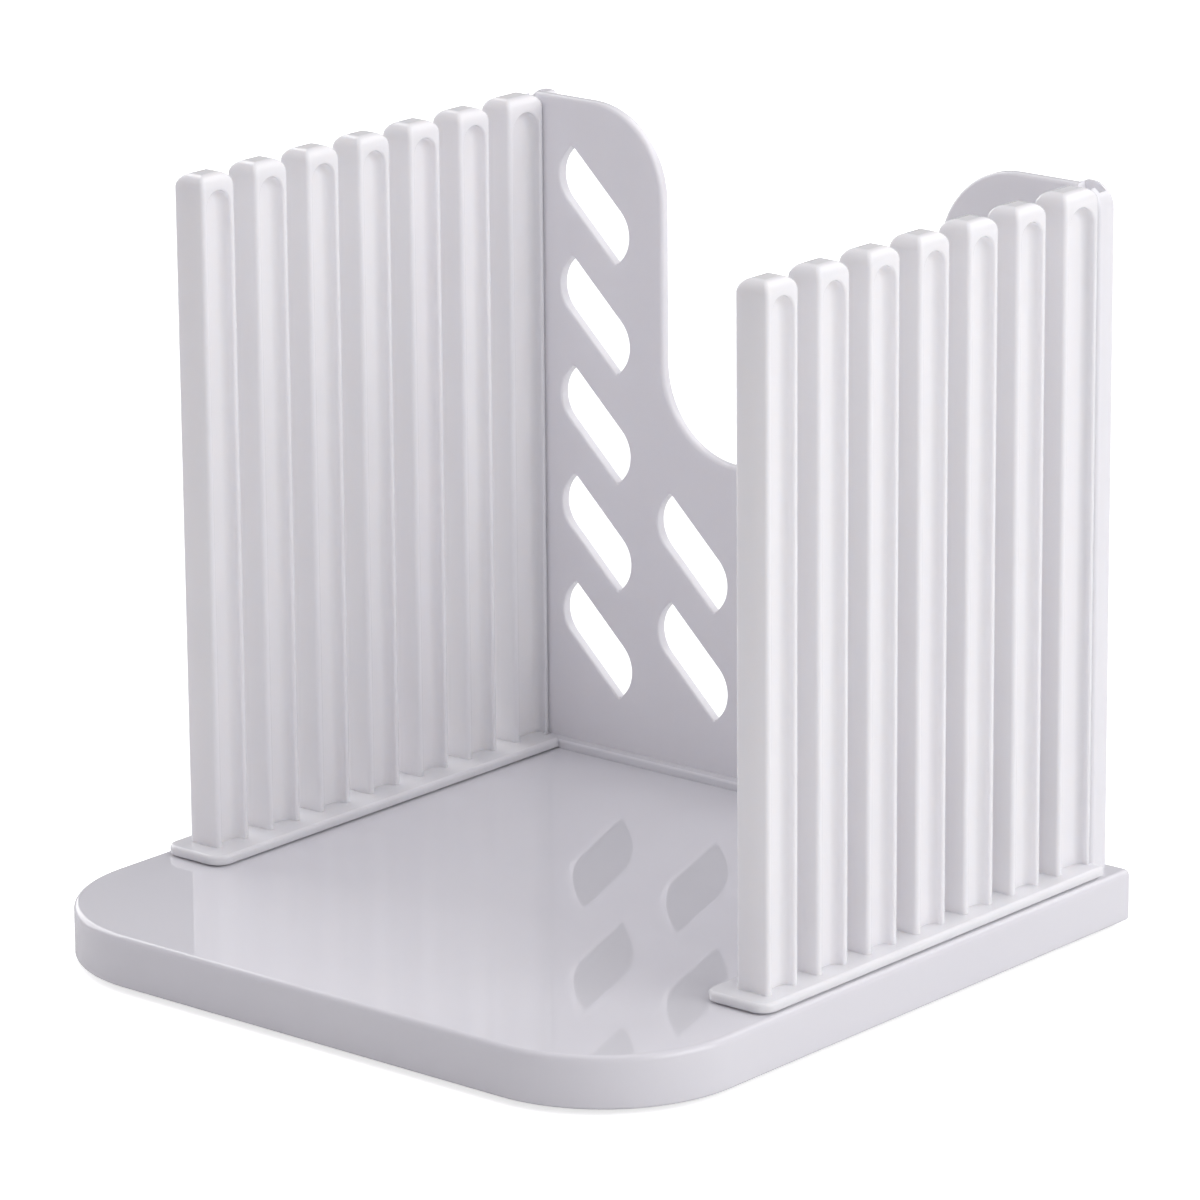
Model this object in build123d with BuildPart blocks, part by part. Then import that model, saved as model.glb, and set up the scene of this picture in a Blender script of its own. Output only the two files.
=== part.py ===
from build123d import *
import os

# Bread slicing guide in white moulded plastic: a board on rubber feet, a slotted back panel
# that plugs into the board, and two side guides that slide down into the panel's corner
# channels. Millimetres. Origin on the table under the middle of the board, +X to the right
# seen from the front, +Y towards the back panel, +Z up.

# ---- loaf space and slicing slots ----
loaf_width = 132.0            # clear width between the two guides
slice_pitch = 15.0            # from one knife slot to the next
post_count = 7                # posts in each guide, a knife slot between each two
post_width = 9.2              # a post along the loaf; the rest of the pitch is the knife slot
end_post_width = 10.9         # the last post, which meets the back panel
guide_thickness = 7.6
guide_height = 137.7          # post tops above the board

# ---- posts ----
post_top_radius = 2.6
post_edge_radius = 0.75
post_rim = 1.4                # flange left at each side of the arched recess
post_crown = 3.1              # solid crown above the recess
recess_depth = 2.4
recess_floor_radius = 1.7     # the recess is a trough with a round bottom
recess_edge_radius = 0.4

# ---- foot plate under each guide ----
foot_gap = 0.4                # the plate floats this far above the board
foot_thickness = 1.8
foot_front_reach = 4.5        # ahead of the first post
foot_outer_reach = 3.0        # outside the guide
foot_inner_reach = 4.5        # inside the guide
foot_corner_radius = 3.2
foot_edge_radius = 0.7
peg_radius = 2.5              # locating peg under the plate, below the first post
peg_length = 4.4
peg_fit = 0.08                # radial clearance of the peg in the board

# ---- sliding joint between a guide and the back panel ----
neck_width = 2.6
head_width = 4.6
head_depth = 2.0
slide_fit = 0.15              # clearance on every side of the tongue
lip_depth = 1.6               # channel lips in front of the head
channel_back = 1.35           # wall behind the head
channel_floor = 3.0           # solid foot of the channel, where the tongue stops
tongue_top_gap = 2.4          # tongue ends this far below the column's top
column_edge_radius = 0.9
column_top_radius = 5.0       # outer top corner of the panel and of the column behind it
column_inner_radius = 2.0     # inner top corner of a column

# ---- back panel ----
panel_thickness = 2.4
cutout_half_width = 35.0      # U-shaped cut-out at the top
cutout_floor = 67.5           # bottom of the cut-out above the board
cutout_lip_radius = 18.5      # outward curve at the top of the cut-out
cutout_floor_radius = 18.5
panel_edge_radius = 0.8
vent_length = 24.4            # slanted leaf-shaped slots: blunt at two corners, pointed at two
vent_width = 9.1
vent_slant = 43.5             # degrees below level, falling to the right
vent_blunt_radius = 7.0
vent_tip_radius = 0.5
vent_columns = 5
vent_left_share = 0.42        # centre of the first column, as a share of the left lobe's width
vent_right_share = 0.56       # centre of the last column, as a share of the right lobe's width
vent_rows = 5                 # rows of the outer columns
vent_low_rows = 2             # rows below the cut-out
vent_first_row = 24.4         # centre of the lowest slots above the board
vent_last_row = 21.5          # centre of the highest slots below the panel's top
vent_edge_radius = 0.4
sill_depth = 2.5              # foot flange along the panel's front
sill_height = 1.8
sill_edge_radius = 0.5
tab_width = 24.0              # tabs that plug into the board
tab_depth = 6.0
tab_pitch = 42.0
tab_count = 3
tab_fit = 0.1                 # clearance round a tab in its socket

# ---- board ----
board_front_reach = 46.3      # board ahead of the first posts
board_side_margin = 4.4       # board outside the guides
board_back_margin = 2.4       # board behind the corner columns
board_thickness = 10.3
board_corner_radius = 30.0    # front corners
board_back_radius = 1.5       # back corners
board_rim_radius = 1.2        # rounding of the top edge
board_foot_radius = 0.6       # rounding of the bottom edge
board_skin = 2.6              # top of the board
board_wall = 2.4              # skirt round the board
rib_thickness = 1.6
rib_pitch = 30.0
socket_wall = 1.3             # round the sockets and peg holes under the board

# ---- underside ----
underplate_thickness = 1.8
underplate_recess = 1.0       # above the skirt's bottom edge
underplate_fit = 0.25
screw_radius = 1.45
screw_fit = 0.05
screw_length = 5.8
screw_head_radius = 2.7
screw_head_height = 1.4
screw_drive_radius = 1.1
screw_drive_depth = 0.8
screw_boss_radius = 3.8
screw_inset_side = 16.0       # screws inside the board's sides
screw_inset_front = 13.0      # front screw inside the board's front edge
screw_inset_back = 18.4       # back screw inside the board's back edge, clear of the tab sockets
screw_row_y = 34.0            # side screws ahead of and behind the middle
foot_ground_gap = 1.2         # feet hold the skirt this far above the table
rubber_foot_radius = 7.5
rubber_foot_edge_radius = 0.8
rubber_stem_radius = 2.4
rubber_stem_fit = 0.1
rubber_barb_radius = 3.1
rubber_barb_height = 1.4
rubber_foot_side_inset = 24.0 # foot centres inside the board's sides
rubber_foot_end_inset = 22.0  # foot centres inside the front and back edges
fit_margin = 0.01             # an edge this near a face counts as lying on it

# ---- places worked out from the sizes above ----
half_loaf = loaf_width / 2
guide_outer = half_loaf + guide_thickness
guide_centre = half_loaf + guide_thickness / 2
channel_depth = head_depth + 2 * slide_fit
column_depth = lip_depth + channel_depth + channel_back
guide_length = (post_count - 1) * slice_pitch + end_post_width
board_width = 2 * (guide_outer + board_side_margin)
board_depth = board_front_reach + guide_length + column_depth + board_back_margin
board_front = -board_depth / 2
first_post = board_front + board_front_reach
panel_front = first_post + guide_length
guide_back = panel_front - slide_fit
panel_middle = panel_front + panel_thickness / 2

board_bottom = foot_ground_gap
board_top = board_bottom + board_thickness
board_ceiling = board_top - board_skin
foot_bottom = board_top + foot_gap
foot_top = foot_bottom + foot_thickness
guide_top = board_top + guide_height
plate_bottom = board_bottom + underplate_recess
plate_top = plate_bottom + underplate_thickness

post_starts = [first_post + i * slice_pitch for i in range(post_count)]
post_widths = [post_width] * (post_count - 1) + [end_post_width]
post_ends = [min(start + width, guide_back) for start, width in zip(post_starts, post_widths)]
peg_y = first_post + post_width / 2
foot_inner_back = panel_front - sill_depth - slide_fit

tab_places = [(i - (tab_count - 1) / 2) * tab_pitch for i in range(tab_count)]
lobe_width = half_loaf - cutout_half_width
vent_first_x = -half_loaf + vent_left_share * lobe_width
vent_last_x = half_loaf - vent_right_share * lobe_width
vent_column_pitch = (vent_last_x - vent_first_x) / (vent_columns - 1)
vent_row_pitch = (guide_height - vent_last_row - vent_first_row) / (vent_rows - 1)
vent_columns_rows = [vent_rows] + [vent_low_rows] * (vent_columns - 2) + [vent_rows]
vent_places = [
    (vent_first_x + column * vent_column_pitch, board_top + vent_first_row + row * vent_row_pitch)
    for column, rows in enumerate(vent_columns_rows)
    for row in range(rows)
]

screw_side_x = board_width / 2 - screw_inset_side
screw_places = [(x, y) for x in (-screw_side_x, screw_side_x) for y in (-screw_row_y, screw_row_y)]
screw_places += [(0, board_front + screw_inset_front), (0, -board_front - screw_inset_back)]

rubber_foot_x = board_width / 2 - rubber_foot_side_inset
rubber_foot_y = board_depth / 2 - rubber_foot_end_inset
foot_places = {
    "front_left": (-rubber_foot_x, -rubber_foot_y),
    "front_right": (rubber_foot_x, -rubber_foot_y),
    "back_left": (-rubber_foot_x, rubber_foot_y),
    "back_right": (rubber_foot_x, rubber_foot_y),
}


def board_outline(inset):
    """Plan of the board, moved in by inset: large front corners, small back corners."""
    with BuildSketch() as plan:
        Rectangle(board_width - 2 * inset, board_depth - 2 * inset)
        front_corners = plan.vertices().group_by(Axis.Y)[0]
        fillet(front_corners, board_corner_radius - inset)
        if board_back_radius > inset:
            back_corners = plan.vertices().group_by(Axis.Y)[-1]
            fillet(back_corners, board_back_radius - inset)
    return plan.sketch


# ---- board: hollow moulding with ribs, screw bosses, tab sockets and peg holes ----
with BuildPart() as base_board:
    with BuildSketch(Plane.XY.offset(board_bottom)):
        add(board_outline(0))
    extrude(amount=board_thickness)
    fillet(base_board.faces().sort_by(Axis.Z)[-1].edges(), board_rim_radius)
    fillet(base_board.faces().sort_by(Axis.Z)[0].edges(), board_foot_radius)

    # hollow underside
    with BuildSketch(Plane.XY.offset(board_bottom)):
        add(board_outline(board_wall))
    extrude(amount=board_thickness - board_skin, mode=Mode.SUBTRACT)

    # ribs, which also carry the underplate
    with BuildSketch(Plane.XY.offset(plate_top)):
        with BuildSketch(mode=Mode.PRIVATE) as rib_lines:
            rib_total = int(board_width // rib_pitch)
            with GridLocations(rib_pitch, 0, rib_total, 1):
                Rectangle(rib_thickness, board_depth)
            with GridLocations(0, rib_pitch, 1, rib_total):
                Rectangle(board_width, rib_thickness)
        add(rib_lines.sketch)
        add(board_outline(board_wall), mode=Mode.INTERSECT)
    extrude(amount=board_ceiling - plate_top)

    # screw bosses, collars round the tab sockets and round the peg holes
    with BuildSketch(Plane.XY.offset(plate_top)):
        with Locations(*screw_places):
            Circle(screw_boss_radius)
        with Locations(*[(x, panel_middle) for x in tab_places]):
            Rectangle(
                tab_width + 2 * (tab_fit + socket_wall),
                panel_thickness + 2 * (tab_fit + socket_wall),
            )
        with Locations((-guide_centre, peg_y), (guide_centre, peg_y)):
            Circle(peg_radius + peg_fit + socket_wall)
        add(board_outline(board_wall), mode=Mode.INTERSECT)
    extrude(amount=board_ceiling - plate_top)

    # tab sockets and peg holes through the top of the board
    with BuildSketch(Plane.XY.offset(plate_top)):
        with Locations(*[(x, panel_middle) for x in tab_places]):
            Rectangle(tab_width + 2 * tab_fit, panel_thickness + 2 * tab_fit)
        with Locations((-guide_centre, peg_y), (guide_centre, peg_y)):
            Circle(peg_radius + peg_fit)
    extrude(amount=board_top - plate_top, mode=Mode.SUBTRACT)

    # screw holes in the bosses
    with BuildSketch(Plane.XY.offset(plate_top)):
        with Locations(*screw_places):
            Circle(screw_radius + screw_fit)
    extrude(amount=board_ceiling - plate_top, mode=Mode.SUBTRACT)
base_board.part.label = "base_board"

# ---- underplate: closes the underside, inside the skirt ----
with BuildPart() as base_underplate:
    with BuildSketch(Plane.XY.offset(plate_bottom)):
        add(board_outline(board_wall + underplate_fit))
        with Locations(*screw_places):
            Circle(screw_radius + screw_fit, mode=Mode.SUBTRACT)
        with Locations(*foot_places.values()):
            Circle(rubber_stem_radius + rubber_stem_fit, mode=Mode.SUBTRACT)
    extrude(amount=underplate_thickness)
base_underplate.part.label = "base_underplate"

# ---- screws that hold the underplate to the bosses ----
with BuildPart() as underplate_screws:
    with BuildSketch(Plane.XY.offset(plate_bottom)):
        with Locations(*screw_places):
            Circle(screw_radius)
    extrude(amount=screw_length)
    with BuildSketch(Plane.XY.offset(plate_bottom)):
        with Locations(*screw_places):
            Circle(screw_head_radius)
    extrude(amount=-screw_head_height)
    with BuildSketch(Plane.XY.offset(plate_bottom - screw_head_height)):
        with Locations(*screw_places):
            RegularPolygon(screw_drive_radius, 6)
    extrude(amount=screw_drive_depth, mode=Mode.SUBTRACT)
underplate_screws.part.label = "underplate_screws"

# ---- rubber feet: a pad below the underplate and a barbed stem through it ----
rubber_feet = []
for place, (foot_x, foot_y) in foot_places.items():
    with BuildPart() as rubber_foot:
        with Locations((foot_x, foot_y, 0)):
            Cylinder(rubber_foot_radius, plate_bottom, align=(Align.CENTER, Align.CENTER, Align.MIN))
        fillet(rubber_foot.edges().group_by(Axis.Z)[0], rubber_foot_edge_radius)
        with Locations((foot_x, foot_y, plate_bottom)):
            Cylinder(rubber_stem_radius, underplate_thickness, align=(Align.CENTER, Align.CENTER, Align.MIN))
        with Locations((foot_x, foot_y, plate_top)):
            Cone(
                rubber_barb_radius,
                rubber_stem_radius,
                rubber_barb_height,
                align=(Align.CENTER, Align.CENTER, Align.MIN),
            )
    rubber_foot.part.label = "foot_" + place
    rubber_feet.append(rubber_foot.part)

# ---- back panel ----
with BuildPart() as back_panel:
    # plate with the U-shaped cut-out, rounded along both rims
    with BuildSketch(Plane.XZ.offset(-panel_front)) as panel_face:
        with BuildLine():
            Polyline(
                (-guide_outer, board_top),
                (guide_outer, board_top),
                (guide_outer, guide_top),
                (cutout_half_width, guide_top),
                (cutout_half_width, board_top + cutout_floor),
                (-cutout_half_width, board_top + cutout_floor),
                (-cutout_half_width, guide_top),
                (-guide_outer, guide_top),
                close=True,
            )
        make_face()
        lip_corners = panel_face.vertices().filter_by_position(Axis.X, -half_loaf, half_loaf)
        fillet(lip_corners.group_by(Axis.Y)[-1], cutout_lip_radius)
        floor_corners = panel_face.vertices().filter_by_position(Axis.X, -half_loaf, half_loaf)
        fillet(floor_corners.group_by(Axis.Y)[0], cutout_floor_radius)
        outer_corners = panel_face.vertices().group_by(Axis.Y)[-1].sort_by(Axis.X)
        fillet([outer_corners[0], outer_corners[-1]], column_top_radius)
    extrude(amount=-panel_thickness)
    rims = back_panel.edges().filter_by(Axis.Y, reverse=True)
    rims = rims.filter_by_position(Axis.Z, board_top, guide_top, inclusive=(False, True))
    fillet(rims, panel_edge_radius)

    # corner columns behind the plate's sides, with rounded tops and rounded rear edges
    with BuildSketch(Plane.XZ.offset(-panel_middle)) as column_faces:
        with Locations((-guide_centre, board_top), (guide_centre, board_top)):
            Rectangle(guide_thickness, guide_height, align=(Align.CENTER, Align.MIN))
        outer_corners = column_faces.vertices().group_by(Axis.Y)[-1].sort_by(Axis.X)
        fillet([outer_corners[0], outer_corners[-1]], column_top_radius)
        inner_corners = column_faces.vertices().filter_by_position(Axis.X, -half_loaf, half_loaf)
        fillet(inner_corners.group_by(Axis.Y)[-1], column_inner_radius)
    extrude(amount=panel_middle - panel_front - column_depth)
    rear_edges = back_panel.edges().filter_by(Axis.Z).group_by(Axis.Y)[-1]
    fillet(rear_edges, column_edge_radius)

    # slanted slots: a turned rectangle with two opposite corners blunt and two pointed
    with BuildSketch(mode=Mode.PRIVATE) as vent:
        Rectangle(vent_length, vent_width)
        blunt_corners = vent.vertices().filter_by(lambda corner: corner.X * corner.Y > 0)
        fillet(blunt_corners, vent_blunt_radius)
        tips = vent.vertices().sort_by(lambda corner: corner.X * corner.Y)
        fillet(tips[:len(blunt_corners)], vent_tip_radius)
    with BuildSketch(Plane.XZ.offset(-panel_front)):
        with Locations(*[Location((x, z, 0), (0, 0, -vent_slant)) for x, z in vent_places]):
            add(vent.sketch)
    extrude(amount=-panel_thickness, mode=Mode.SUBTRACT)
    vent_rims = back_panel.edges(Select.LAST).filter_by(Axis.Y, reverse=True)
    fillet(vent_rims, vent_edge_radius)

    # foot flange along the front of the panel
    with BuildSketch(Plane.XY.offset(board_top)):
        with Locations((0, panel_front - sill_depth / 2)):
            Rectangle(loaf_width - 2 * slide_fit, sill_depth)
    extrude(amount=sill_height)
    sill_front = back_panel.edges(Select.LAST).filter_by(Axis.X).group_by(Axis.Y)[0]
    fillet(sill_front.sort_by(Axis.Z)[-1], sill_edge_radius)

    # T-shaped channels down the columns, open at the top
    with BuildSketch(Plane.XY.offset(board_top + channel_floor)):
        with Locations((-guide_centre, panel_front), (guide_centre, panel_front)):
            Rectangle(neck_width + 2 * slide_fit, lip_depth, align=(Align.CENTER, Align.MIN))
        with Locations((-guide_centre, panel_front + lip_depth), (guide_centre, panel_front + lip_depth)):
            Rectangle(head_width + 2 * slide_fit, channel_depth, align=(Align.CENTER, Align.MIN))
    extrude(amount=guide_height, mode=Mode.SUBTRACT)

    # tabs that plug into the board
    with BuildSketch(Plane.XY.offset(board_top)):
        with Locations(*[(x, panel_middle) for x in tab_places]):
            Rectangle(tab_width, panel_thickness)
    extrude(amount=-tab_depth)
back_panel.part.label = "back_panel"

# ---- left side guide ----
with BuildPart() as left_guide:
    # posts with rounded tops
    with BuildSketch(Plane.XY.offset(foot_top)):
        for start, end in zip(post_starts, post_ends):
            with Locations((-guide_centre, start)):
                Rectangle(guide_thickness, end - start, align=(Align.CENTER, Align.MIN))
    extrude(amount=guide_top - foot_top)
    fillet(left_guide.faces().group_by(Axis.Z)[-1].edges(), post_top_radius)
    post_edges = left_guide.edges().filter_by(Axis.Z).filter_by_position(Axis.Z, foot_top, guide_top)
    fillet(post_edges, post_edge_radius)

    # arched recess in both faces of every post
    for face_x, inward in ((-guide_outer, 1), (-half_loaf, -1)):
        with BuildSketch(Plane.YZ.offset(face_x)):
            for start, width in zip(post_starts, post_widths):
                arch_radius = width / 2 - post_rim
                arch_centre = guide_top - post_crown - arch_radius
                with Locations((start + width / 2, foot_top)):
                    Rectangle(
                        2 * arch_radius,
                        arch_centre - foot_top,
                        align=(Align.CENTER, Align.MIN),
                    )
                with Locations((start + width / 2, arch_centre)):
                    Circle(arch_radius)
        extrude(amount=inward * recess_depth, mode=Mode.SUBTRACT)
        floor_x = face_x + inward * recess_depth
        cut_edges = left_guide.edges(Select.LAST)
        cut_edges = cut_edges.filter_by_position(Axis.Z, foot_top + fit_margin, guide_top)
        rim_edges = cut_edges.filter_by_position(Axis.X, face_x - fit_margin, face_x + fit_margin)
        floor_edges = cut_edges.filter_by_position(Axis.X, floor_x - fit_margin, floor_x + fit_margin)
        fillet(floor_edges, recess_floor_radius)
        fillet(rim_edges, recess_edge_radius)

    # foot plate, stepped at the back round the panel's foot flange
    with BuildSketch(Plane.XY.offset(foot_bottom)) as foot_plan:
        with Locations((-guide_outer - foot_outer_reach, first_post - foot_front_reach)):
            Rectangle(
                foot_outer_reach + guide_thickness + foot_inner_reach,
                foot_inner_back - first_post + foot_front_reach,
                align=(Align.MIN, Align.MIN),
            )
        fillet(foot_plan.vertices().group_by(Axis.Y)[0], foot_corner_radius)
        with Locations((-guide_outer - foot_outer_reach, foot_inner_back)):
            Rectangle(
                foot_outer_reach + guide_thickness,
                guide_back - foot_inner_back,
                align=(Align.MIN, Align.MIN),
            )
    extrude(amount=foot_thickness)
    foot_rim = left_guide.edges(Select.LAST).group_by(Axis.Z)[-1]
    front_rim = foot_rim.filter_by_position(Axis.Y, board_front, first_post - fit_margin)
    side_rims = foot_rim.filter_by(Axis.Y).group_by(Axis.X)
    fillet(front_rim + side_rims[0] + side_rims[-1], foot_edge_radius)

    # locating peg below the first post
    with Locations((-guide_centre, peg_y, foot_bottom)):
        Cylinder(peg_radius, peg_length, align=(Align.CENTER, Align.CENTER, Align.MAX))

    # tongue that slides down the panel's channel
    with BuildSketch(Plane.XY.offset(board_top + channel_floor)):
        with Locations((-guide_centre, guide_back)):
            Rectangle(neck_width, slide_fit + lip_depth + slide_fit, align=(Align.CENTER, Align.MIN))
        with Locations((-guide_centre, panel_front + lip_depth + slide_fit)):
            Rectangle(head_width, head_depth, align=(Align.CENTER, Align.MIN))
    extrude(amount=guide_height - channel_floor - tongue_top_gap)
left_guide.part.label = "left_guide"

# ---- right side guide: the left one mirrored ----
with BuildPart() as right_guide:
    mirror(left_guide.part, about=Plane.YZ)
right_guide.part.label = "right_guide"

pieces = [base_board.part, base_underplate.part, underplate_screws.part, *rubber_feet]
pieces += [back_panel.part, left_guide.part, right_guide.part]

os.makedirs("parts", exist_ok=True)
for piece in pieces:
    export_step(piece, f"parts/{piece.label}.step")
    size = piece.bounding_box().size
    print(f"{piece.label:20s} {size.X:7.1f} x {size.Y:7.1f} x {size.Z:7.1f} mm, {piece.volume:9.0f} mm3")
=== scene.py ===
import bpy
import math
from mathutils import Matrix, Vector

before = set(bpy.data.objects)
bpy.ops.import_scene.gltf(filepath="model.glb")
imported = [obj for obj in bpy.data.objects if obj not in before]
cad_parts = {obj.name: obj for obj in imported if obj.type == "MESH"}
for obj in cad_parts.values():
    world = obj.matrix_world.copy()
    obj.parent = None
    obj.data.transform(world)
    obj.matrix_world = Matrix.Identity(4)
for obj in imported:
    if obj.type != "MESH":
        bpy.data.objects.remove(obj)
bpy.ops.object.select_all(action='DESELECT')
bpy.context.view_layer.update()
print("frame loaded:", len(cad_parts), "nodes")

# shared by all the plastics: noise detail, and the part of the noise's range that is used
grain = {"clouds": 3.0, "gloss": 4.0, "waves": 1.0, "skin": 2.0, "low": 0.3, "high": 0.7}
even = (1.0, 1.0, 1.0)
warmMilk = (1.0, 0.95, 0.9)


def newMaterial(name):
    material = bpy.data.materials.new(name)
    material.use_nodes = True
    material.node_tree.nodes.clear()
    return material, material.node_tree.nodes, material.node_tree.links


def noiseOn(nodes, links, coords, scale, detail, stretch):
    mapping = nodes.new("ShaderNodeMapping")
    mapping.inputs["Scale"].default_value = stretch
    links.new(coords.outputs["Object"], mapping.inputs["Vector"])
    noise = nodes.new("ShaderNodeTexNoise")
    noise.inputs["Scale"].default_value = scale
    noise.inputs["Detail"].default_value = detail
    links.new(mapping.outputs["Vector"], noise.inputs["Vector"])
    return noise


def bumpOf(nodes, links, noise, strength, depth):
    bump = nodes.new("ShaderNodeBump")
    bump.inputs["Strength"].default_value = strength
    bump.inputs["Distance"].default_value = depth
    links.new(noise.outputs["Fac"], bump.inputs["Height"])
    return bump


def mouldedPlastic(name, look):
    material, nodes, links = newMaterial(name)
    coords = nodes.new("ShaderNodeTexCoord")
    shader = nodes.new("ShaderNodeBsdfPrincipled")
    out = nodes.new("ShaderNodeOutputMaterial")
    links.new(shader.outputs["BSDF"], out.inputs["Surface"])
    shader.inputs["IOR"].default_value = look["ior"]
    shader.inputs["Metallic"].default_value = look["metal"]
    shader.inputs["Subsurface Weight"].default_value = look["milk"]
    shader.inputs["Subsurface Radius"].default_value = look["milkRadius"]
    shader.inputs["Subsurface Scale"].default_value = look["milkDepth"]

    # cloudy tint of the plastic
    clouds = noiseOn(nodes, links, coords, look["cloudScale"], grain["clouds"], look["flow"])
    tint = nodes.new("ShaderNodeValToRGB")
    tint.color_ramp.elements[0].position = grain["low"]
    tint.color_ramp.elements[0].color = (*look["darker"], 1)
    tint.color_ramp.elements[1].position = grain["high"]
    tint.color_ramp.elements[1].color = (*look["lighter"], 1)
    links.new(clouds.outputs["Fac"], tint.inputs["Fac"])
    links.new(tint.outputs["Color"], shader.inputs["Base Color"])

    # gloss that varies along the flow of the melt
    sheen = noiseOn(nodes, links, coords, look["glossScale"], grain["gloss"], look["flow"])
    glossRange = nodes.new("ShaderNodeMapRange")
    glossRange.inputs["From Min"].default_value = grain["low"]
    glossRange.inputs["From Max"].default_value = grain["high"]
    glossRange.inputs["To Min"].default_value = look["roughness"][0]
    glossRange.inputs["To Max"].default_value = look["roughness"][1]
    links.new(sheen.outputs["Fac"], glossRange.inputs["Value"])
    links.new(glossRange.outputs["Result"], shader.inputs["Roughness"])

    # slow waviness of the tool, then the fine skin of the moulding
    waves = noiseOn(nodes, links, coords, look["waveScale"], grain["waves"], look["flow"])
    waveBump = bumpOf(nodes, links, waves, look["waveStrength"], look["waveDepth"])
    skin = noiseOn(nodes, links, coords, look["skinScale"], grain["skin"], even)
    skinBump = bumpOf(nodes, links, skin, look["skinStrength"], look["skinDepth"])
    links.new(waveBump.outputs["Normal"], skinBump.inputs["Normal"])
    links.new(skinBump.outputs["Normal"], shader.inputs["Normal"])
    return material


def dress(node, material):
    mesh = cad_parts[node].data
    mesh.materials.clear()
    mesh.materials.append(material)


# board: very glossy, even top
boardLook = {
    "darker": (0.800, 0.795, 0.830), "lighter": (0.820, 0.815, 0.845),
    "milk": 0.25, "milkRadius": warmMilk, "milkDepth": 0.0012,
    "ior": 1.54, "metal": 0.0, "roughness": (0.015, 0.04), "flow": even,
    "cloudScale": 12.0, "glossScale": 20.0,
    "waveScale": 12.0, "waveStrength": 0.08, "waveDepth": 0.0003,
    "skinScale": 1500.0, "skinStrength": 0.03, "skinDepth": 0.00001,
}
boardPlastic = mouldedPlastic("boardPlastic", boardLook)
dress("base_board", boardPlastic)

# back panel
panelLook = {
    "darker": (0.885, 0.880, 0.910), "lighter": (0.905, 0.900, 0.925),
    "milk": 0.4, "milkRadius": warmMilk, "milkDepth": 0.0016,
    "ior": 1.5, "metal": 0.0, "roughness": (0.06, 0.12), "flow": (1.0, 1.0, 0.6),
    "cloudScale": 16.0, "glossScale": 30.0,
    "waveScale": 22.0, "waveStrength": 0.15, "waveDepth": 0.0003,
    "skinScale": 1400.0, "skinStrength": 0.05, "skinDepth": 0.00002,
}
panelPlastic = mouldedPlastic("panelPlastic", panelLook)
dress("back_panel", panelPlastic)

# side guides: streaks run up the posts
guideLook = {
    "darker": (0.915, 0.908, 0.938), "lighter": (0.935, 0.928, 0.953),
    "milk": 0.7, "milkRadius": warmMilk, "milkDepth": 0.0024,
    "ior": 1.5, "metal": 0.0, "roughness": (0.05, 0.13), "flow": (1.0, 1.0, 0.14),
    "cloudScale": 34.0, "glossScale": 60.0,
    "waveScale": 70.0, "waveStrength": 0.4, "waveDepth": 0.00025,
    "skinScale": 1400.0, "skinStrength": 0.05, "skinDepth": 0.00002,
}
guidePlastic = mouldedPlastic("guidePlastic", guideLook)
dress("left_guide", guidePlastic)
dress("right_guide", guidePlastic)

# underplate: duller, never seen from above
underplateLook = {
    "darker": (0.74, 0.74, 0.78), "lighter": (0.79, 0.79, 0.83),
    "milk": 0.15, "milkRadius": warmMilk, "milkDepth": 0.001,
    "ior": 1.5, "metal": 0.0, "roughness": (0.35, 0.5), "flow": even,
    "cloudScale": 16.0, "glossScale": 40.0,
    "waveScale": 24.0, "waveStrength": 0.2, "waveDepth": 0.0003,
    "skinScale": 900.0, "skinStrength": 0.35, "skinDepth": 0.00006,
}
underplatePlastic = mouldedPlastic("underplatePlastic", underplateLook)
dress("base_underplate", underplatePlastic)

# rubber feet
rubberLook = {
    "darker": (0.40, 0.40, 0.41), "lighter": (0.47, 0.47, 0.48),
    "milk": 0.0, "milkRadius": even, "milkDepth": 0.001,
    "ior": 1.45, "metal": 0.0, "roughness": (0.7, 0.9), "flow": even,
    "cloudScale": 90.0, "glossScale": 150.0,
    "waveScale": 200.0, "waveStrength": 0.3, "waveDepth": 0.0002,
    "skinScale": 2600.0, "skinStrength": 0.6, "skinDepth": 0.00008,
}
footRubber = mouldedPlastic("footRubber", rubberLook)
for place in ("front_left", "front_right", "back_left", "back_right"):
    dress("foot_" + place, footRubber)

# zinc-plated screws
screwLook = {
    "darker": (0.52, 0.53, 0.55), "lighter": (0.66, 0.66, 0.67),
    "milk": 0.0, "milkRadius": even, "milkDepth": 0.001,
    "ior": 1.5, "metal": 1.0, "roughness": (0.25, 0.42), "flow": even,
    "cloudScale": 500.0, "glossScale": 900.0,
    "waveScale": 400.0, "waveStrength": 0.2, "waveDepth": 0.0001,
    "skinScale": 3000.0, "skinStrength": 0.2, "skinDepth": 0.00003,
}
screwZinc = mouldedPlastic("screwZinc", screwLook)
dress("underplate_screws", screwZinc)
print("materials on all nodes")

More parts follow.
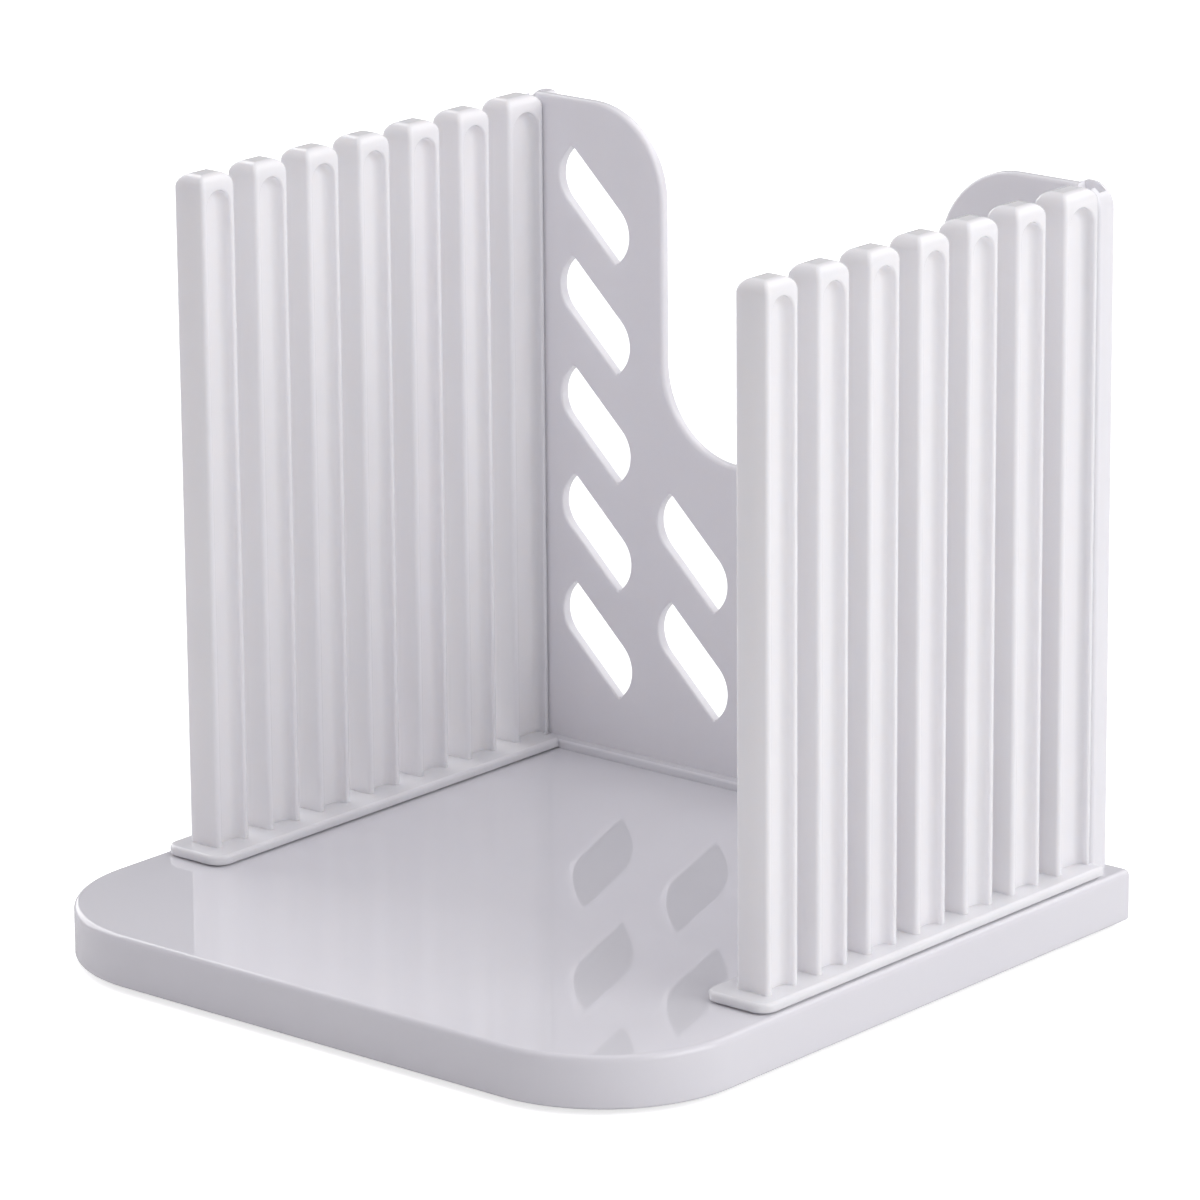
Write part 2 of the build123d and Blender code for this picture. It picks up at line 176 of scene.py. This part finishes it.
# floor: grey paper that glows for the camera only, so it reads white and keeps the shadow
floorLook = {"side": 8.0, "grey": (0.8, 0.8, 0.8), "glow": 0.70}
bpy.ops.mesh.primitive_plane_add(size=floorLook["side"], location=(0, 0, 0))
floor = bpy.context.active_object
floor.name = "floor"
floorPaper, nodes, links = newMaterial("floorPaper")
paper = nodes.new("ShaderNodeBsdfDiffuse")
paper.inputs["Color"].default_value = (*floorLook["grey"], 1)
glow = nodes.new("ShaderNodeEmission")
lightPath = nodes.new("ShaderNodeLightPath")
glowMath = nodes.new("ShaderNodeMath")
glowMath.operation = 'MULTIPLY'
glowMath.inputs[1].default_value = floorLook["glow"]
links.new(lightPath.outputs["Is Camera Ray"], glowMath.inputs[0])
links.new(glowMath.outputs["Value"], glow.inputs["Strength"])
both = nodes.new("ShaderNodeAddShader")
links.new(paper.outputs["BSDF"], both.inputs[0])
links.new(glow.outputs["Emission"], both.inputs[1])
floorOut = nodes.new("ShaderNodeOutputMaterial")
links.new(both.outputs["Shader"], floorOut.inputs["Surface"])
floor.data.materials.append(floorPaper)
print("floor laid")

# studio: grey room, a dark flag mirrored by the board, white where the camera looks past the object
studio = {
    "room": (0.380, 0.365, 0.393), "flag": (0.10, 0.10, 0.11), "white": (1, 1, 1),
    "flagAim": (-0.601, 0.734, 0.3175), "flagSpread": (0.87, 0.96), "lampAim": (0, 0, 0.06),
    "right": {"at": (1.45, 0.25, 0.80), "size": 1.3, "power": 12.5},
    "left": {"at": (-1.45, 0.25, 0.75), "size": 1.3, "power": 12.0},
    "behind": {"at": (0.35, 1.6, 1.15), "size": 1.2, "power": 7.0},
    "above": {"at": (-0.1, 0.0, 1.8), "size": 1.4, "power": 5.5},
}
world = bpy.data.worlds.new("studioRoom")
bpy.context.scene.world = world
world.use_nodes = True
nodes, links = world.node_tree.nodes, world.node_tree.links
nodes.clear()
walls = {}
for name in ("room", "flag", "white"):
    walls[name] = nodes.new("ShaderNodeBackground")
    walls[name].inputs["Color"].default_value = (*studio[name], 1)
ray = nodes.new("ShaderNodeTexCoord")
towardFlag = nodes.new("ShaderNodeVectorMath")
towardFlag.operation = 'DOT_PRODUCT'
towardFlag.inputs[1].default_value = studio["flagAim"]
links.new(ray.outputs["Object"], towardFlag.inputs[0])
flagEdge = nodes.new("ShaderNodeMapRange")
flagEdge.interpolation_type = 'SMOOTHSTEP'
flagEdge.inputs["From Min"].default_value = studio["flagSpread"][0]
flagEdge.inputs["From Max"].default_value = studio["flagSpread"][1]
links.new(towardFlag.outputs["Value"], flagEdge.inputs["Value"])
flagged = nodes.new("ShaderNodeMixShader")
links.new(flagEdge.outputs["Result"], flagged.inputs["Fac"])
links.new(walls["room"].outputs["Background"], flagged.inputs[1])
links.new(walls["flag"].outputs["Background"], flagged.inputs[2])
lightPath = nodes.new("ShaderNodeLightPath")
pick = nodes.new("ShaderNodeMixShader")
links.new(lightPath.outputs["Is Camera Ray"], pick.inputs["Fac"])
links.new(flagged.outputs["Shader"], pick.inputs[1])
links.new(walls["white"].outputs["Background"], pick.inputs[2])
worldOut = nodes.new("ShaderNodeOutputWorld")
links.new(pick.outputs["Shader"], worldOut.inputs["Surface"])

for name in ("right", "left", "behind", "above"):
    lamp = studio[name]
    bpy.ops.object.light_add(type='AREA', location=lamp["at"])
    light = bpy.context.active_object
    light.name = name + "Softbox"
    light.data.shape = 'SQUARE'
    light.data.size = lamp["size"]
    light.data.energy = lamp["power"]
    aim = Vector(studio["lampAim"]) - Vector(lamp["at"])
    light.rotation_euler = aim.to_track_quat('-Z', 'Y').to_euler()
print("lights set")

# camera at the photograph's place
shot = {
    "at": (0.8206, -0.9572, 0.4342), "target": (0.0, 0.00843, 0.06792),
    "roll": -0.462, "lens": 204.2, "sensor": 36.0, "far": 30.0,
}
forward = (Vector(shot["target"]) - Vector(shot["at"])).normalized()
right = forward.cross(Vector((0, 0, 1))).normalized()
up = right.cross(forward)
roll = math.radians(shot["roll"])
rolledRight = math.cos(roll) * right + math.sin(roll) * up
rolledUp = math.cos(roll) * up - math.sin(roll) * right
turn = Matrix((rolledRight, rolledUp, -forward)).transposed()
bpy.ops.object.camera_add(location=shot["at"], rotation=turn.to_euler())
camera = bpy.context.active_object
camera.data.lens = shot["lens"]
camera.data.sensor_width = shot["sensor"]
camera.data.clip_end = shot["far"]
camera.data.dof.use_dof = False
bpy.context.scene.camera = camera
bpy.context.scene.view_settings.view_transform = 'Standard'
print("camera set")
